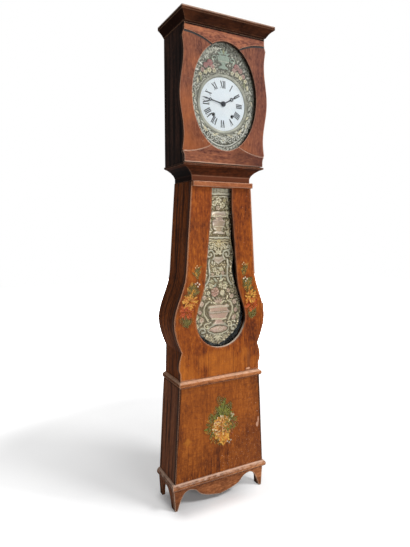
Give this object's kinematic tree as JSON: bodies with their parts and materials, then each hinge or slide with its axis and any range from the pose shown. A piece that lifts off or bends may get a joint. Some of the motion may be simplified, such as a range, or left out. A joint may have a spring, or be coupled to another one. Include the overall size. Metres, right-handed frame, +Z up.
{
  "type": "comtoise clock",
  "caption": "Tall violin-shaped longcase clock: painted case with hinged hood and trunk doors, enamel dial, embossed brass pendulum, striking train and weights.",
  "frame": {"origin": "on the floor, below the middle of the case's width and depth", "axes": "+Z up, -Y towards the viewer of the dial, +X to the viewer's right"},
  "size_m": [0.549, 0.27, 2.34],
  "materials": {
    "grained_pine": "red-brown grained paint on pine, worn at the edges",
    "dark_pine": "dark brown paint on pine, worn pale at the edges",
    "raw_pine": "unpainted softwood",
    "window_glass": "thin clear sheet glass",
    "pressed_brass": "thin embossed sheet, patinated and tinted",
    "white_enamel": "white enamel with dark numerals",
    "dark_steel": "dark blued steel",
    "clock_brass": "turned and cut clock brass",
    "bell_bronze": "cast bell metal",
    "hemp_line": "twisted line",
    "forged_iron": "forged or cast iron, dark"
  },
  "bodies": {
    "case": {"back_board": "raw_pine", "roof_board": "dark_pine", "cornice": "dark_pine", "hood_side_left": "dark_pine", "hood_side_right": "dark_pine", "neck_cove": "dark_pine", "trunk_side_left": "dark_pine", "trunk_side_right": "dark_pine", "waist_bead": "dark_pine", "base_front_panel": "grained_pine", "base_side_left": "grained_pine", "base_side_right": "grained_pine", "foot_moulding": "dark_pine", "skirt_front": "grained_pine", "skirt_left": "grained_pine", "skirt_right": "grained_pine", "seat_board": "raw_pine", "hood_hinge_lower_case_half": "forged_iron", "hood_hinge_upper_case_half": "forged_iron", "trunk_hinge_lower_case_half": "forged_iron", "trunk_hinge_upper_case_half": "forged_iron", "dial_surround": "pressed_brass", "enamel_dial": "white_enamel", "movement_cage": "forged_iron", "bell": "bell_bronze", "going_line": "hemp_line", "strike_line": "hemp_line"},
    "hood_door": {"hood_stile_left": "grained_pine", "hood_stile_right": "grained_pine", "hood_top_rail": "grained_pine", "hood_bottom_rail": "grained_pine", "hood_glass": "window_glass", "hood_hinge_lower_door_half": "forged_iron", "hood_hinge_upper_door_half": "forged_iron"},
    "trunk_door": {"trunk_door": "grained_pine", "trunk_glass": "window_glass", "trunk_top_lath": "grained_pine", "trunk_hinge_lower_door_half": "forged_iron", "trunk_hinge_upper_door_half": "forged_iron"},
    "pendulum": {"pendulum_rod": "dark_steel", "pendulum_bob": "pressed_brass", "anchor": "dark_steel"},
    "minute": {"minute_hand": "dark_steel", "cannon_pinion": "dark_steel"},
    "hour": {"hour_hand": "dark_steel", "hour_wheel": "clock_brass"},
    "motion": {"motion_wheel": "clock_brass"},
    "transfer": {"transfer_wheel": "clock_brass"},
    "going_great": {"going_great_wheel": "clock_brass"},
    "centre": {"centre_arbor": "clock_brass"},
    "third": {"third_arbor": "clock_brass"},
    "escape": {"escape_wheel": "clock_brass"},
    "going_drum": {"going_drum": "forged_iron"},
    "going_weight": {"going_weight": "forged_iron"},
    "strike_drum": {"strike_drum": "forged_iron"},
    "strike_weight": {"strike_weight": "forged_iron"},
    "strike_great": {"strike_great_wheel": "clock_brass"},
    "pins": {"pin_wheel": "clock_brass"},
    "hammer": {"hammer": "dark_steel"}
  },
  "joints": [
    {"name": "hood_door_swing", "type": "hinge", "parent": "case", "child": "hood_door", "pos_m": [0.2173, -0.071, 1.992], "axis": [0, 0, 1], "range_deg": [0, 95]},
    {"name": "trunk_door_swing", "type": "hinge", "parent": "case", "child": "trunk_door", "pos_m": [0.2628, -0.04, 0.945], "axis": [0, 0, 1], "range_deg": [0, 110]},
    {"name": "pendulum_swing", "type": "hinge", "parent": "case", "child": "pendulum", "pos_m": [0, -0.01, 2.05], "axis": [0, 1, 0], "range_deg": [-3.5, 3.5]},
    {"name": "minute_turn", "type": "hinge", "parent": "case", "child": "minute", "pos_m": [0, -0.01, 1.972], "axis": [0, 1, 0], "continuous": true},
    {"name": "transfer_turn", "type": "hinge", "parent": "case", "child": "transfer", "pos_m": [0.0505, -0.01, 1.9673], "axis": [0, 1, 0], "continuous": true},
    {"name": "motion_turn", "type": "hinge", "parent": "case", "child": "motion", "pos_m": [0, -0.01, 1.9936], "axis": [0, 1, 0], "continuous": true},
    {"name": "hour_turn", "type": "hinge", "parent": "case", "child": "hour", "pos_m": [0, -0.01, 1.972], "axis": [0, 1, 0], "continuous": true},
    {"name": "third_turn", "type": "hinge", "parent": "case", "child": "third", "pos_m": [0.02734, -0.01, 1.99525], "axis": [0, 1, 0], "continuous": true},
    {"name": "centre_turn", "type": "hinge", "parent": "case", "child": "centre", "pos_m": [0.0505, -0.01, 1.9673], "axis": [0, 1, 0], "continuous": true},
    {"name": "great_turn", "type": "hinge", "parent": "case", "child": "going_great", "pos_m": [0.0505, -0.01, 1.9205], "axis": [0, 1, 0], "continuous": true},
    {"name": "escape_turn", "type": "hinge", "parent": "case", "child": "escape", "pos_m": [0, -0.01, 2.014], "axis": [0, 1, 0], "continuous": true},
    {"name": "strike_great_turn", "type": "hinge", "parent": "case", "child": "strike_great", "pos_m": [-0.0505, -0.01, 1.9205], "axis": [0, 1, 0], "continuous": true},
    {"name": "pin_wheel_turn", "type": "hinge", "parent": "case", "child": "pins", "pos_m": [-0.0505, -0.01, 1.9673], "axis": [0, 1, 0], "continuous": true},
    {"name": "going_weight_travel", "type": "slide", "parent": "case", "child": "going_weight", "axis": [0, 0, 1], "range_m": [0, 1.15], "deforming": ["going_line"]},
    {"name": "going_drum_turn", "type": "hinge", "parent": "case", "child": "going_drum", "pos_m": [0.0505, -0.01, 1.9205], "axis": [0, 1, 0], "range_deg": [-2460, 0]},
    {"name": "strike_weight_travel", "type": "slide", "parent": "case", "child": "strike_weight", "axis": [0, 0, 1], "range_m": [0, 1.15], "deforming": ["strike_line"]},
    {"name": "strike_drum_turn", "type": "hinge", "parent": "case", "child": "strike_drum", "pos_m": [-0.0505, -0.01, 1.9205], "axis": [0, 1, 0], "range_deg": [0, 2460]},
    {"name": "hammer_lift", "type": "hinge", "parent": "case", "child": "hammer", "pos_m": [-0.076, 0.044, 2.084], "axis": [0, -1, 0], "range_deg": [0, 15]}
  ],
  "couplings": [
    {"joint": "transfer_turn", "follows": "minute_turn", "ratio": -0.5},
    {"joint": "motion_turn", "follows": "minute_turn", "ratio": -0.33333},
    {"joint": "hour_turn", "follows": "minute_turn", "ratio": 0.083333},
    {"joint": "centre_turn", "follows": "third_turn", "ratio": -0.1},
    {"joint": "great_turn", "follows": "third_turn", "ratio": 0.0083333},
    {"joint": "escape_turn", "follows": "third_turn", "ratio": -12},
    {"joint": "pin_wheel_turn", "follows": "strike_great_turn", "ratio": -12},
    {"joint": "going_drum_turn", "follows": "going_weight_travel", "rad_per_m": -37.313},
    {"joint": "strike_drum_turn", "follows": "strike_weight_travel", "rad_per_m": 37.313}
  ]
}
